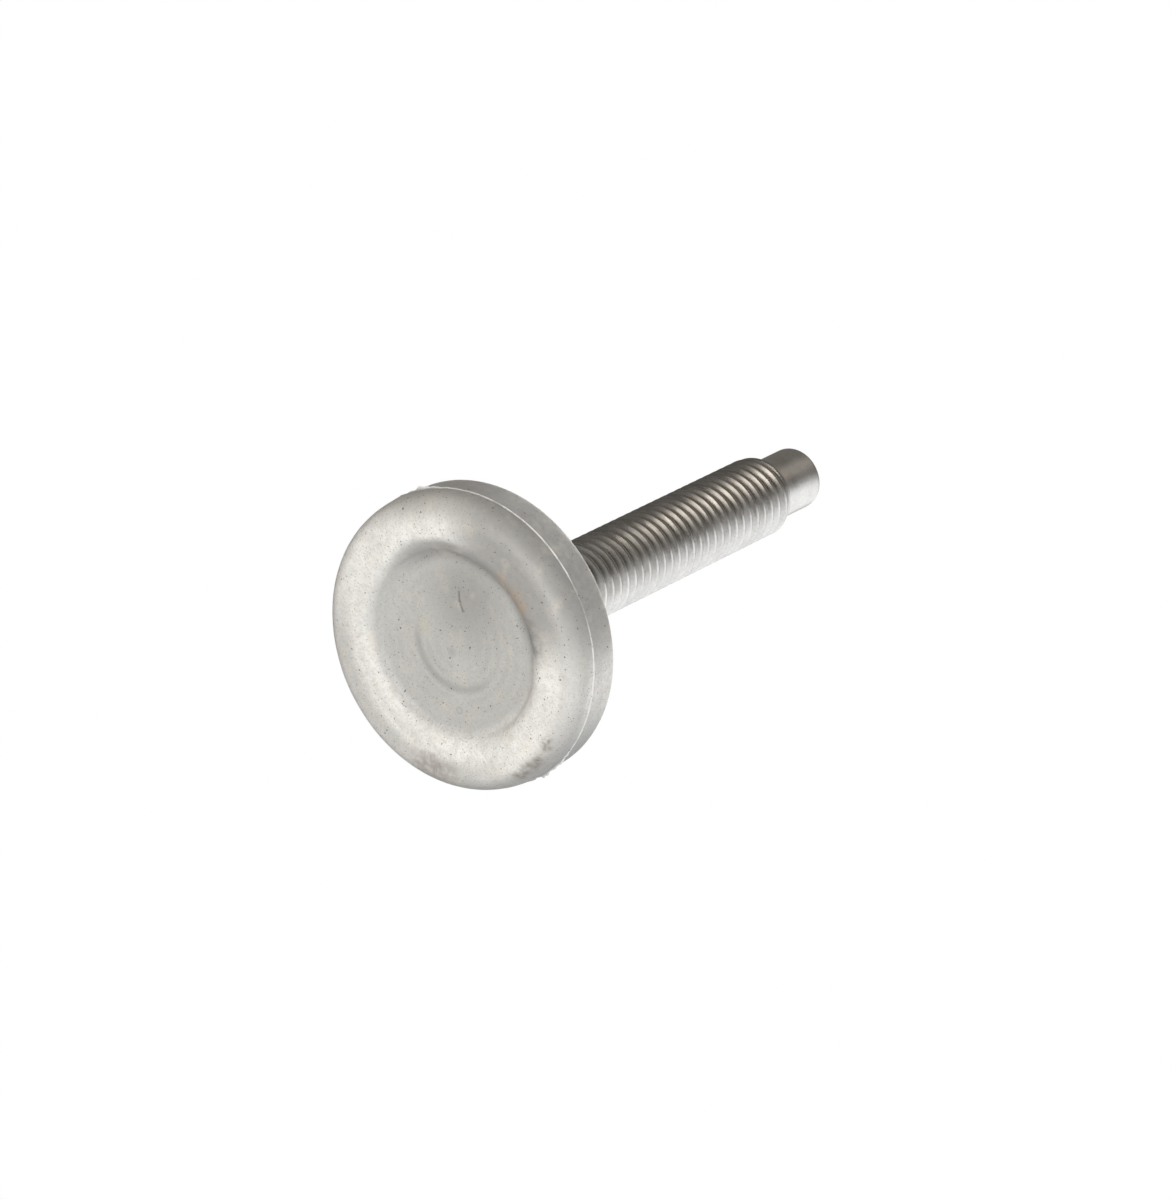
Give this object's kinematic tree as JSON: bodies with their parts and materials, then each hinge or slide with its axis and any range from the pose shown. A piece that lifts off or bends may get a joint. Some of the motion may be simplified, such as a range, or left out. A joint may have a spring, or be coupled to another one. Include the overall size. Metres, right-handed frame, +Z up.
{
  "type": "adjustable foot",
  "caption": "Levelling foot: a round moulded rubber pad with a shallow sole recess, turning on a threaded steel stud with a plain pilot end.",
  "frame": {"origin": "centre of the sole's contact ring, on the surface that the foot stands on", "axes": "+Z up along the stud to its pilot end; the foot is round, so X and Y have no feature of their own"},
  "size_m": [0.0358, 0.0358, 0.0713],
  "materials": {
    "pad_rubber": "translucent grey, satin, as moulded",
    "plate_steel": "dull zinc over pressed steel",
    "stud_steel": "bright, rolled thread"
  },
  "bodies": {
    "foot": {"pad": "pad_rubber", "anchor_plate": "plate_steel"},
    "stud": {"threaded_stud": "stud_steel"}
  },
  "joints": [
    {"name": "stud_swivel", "type": "hinge", "parent": "foot", "child": "stud", "pos_m": [0, 0, 0.006], "axis": [0, 0, 1], "continuous": true}
  ]
}
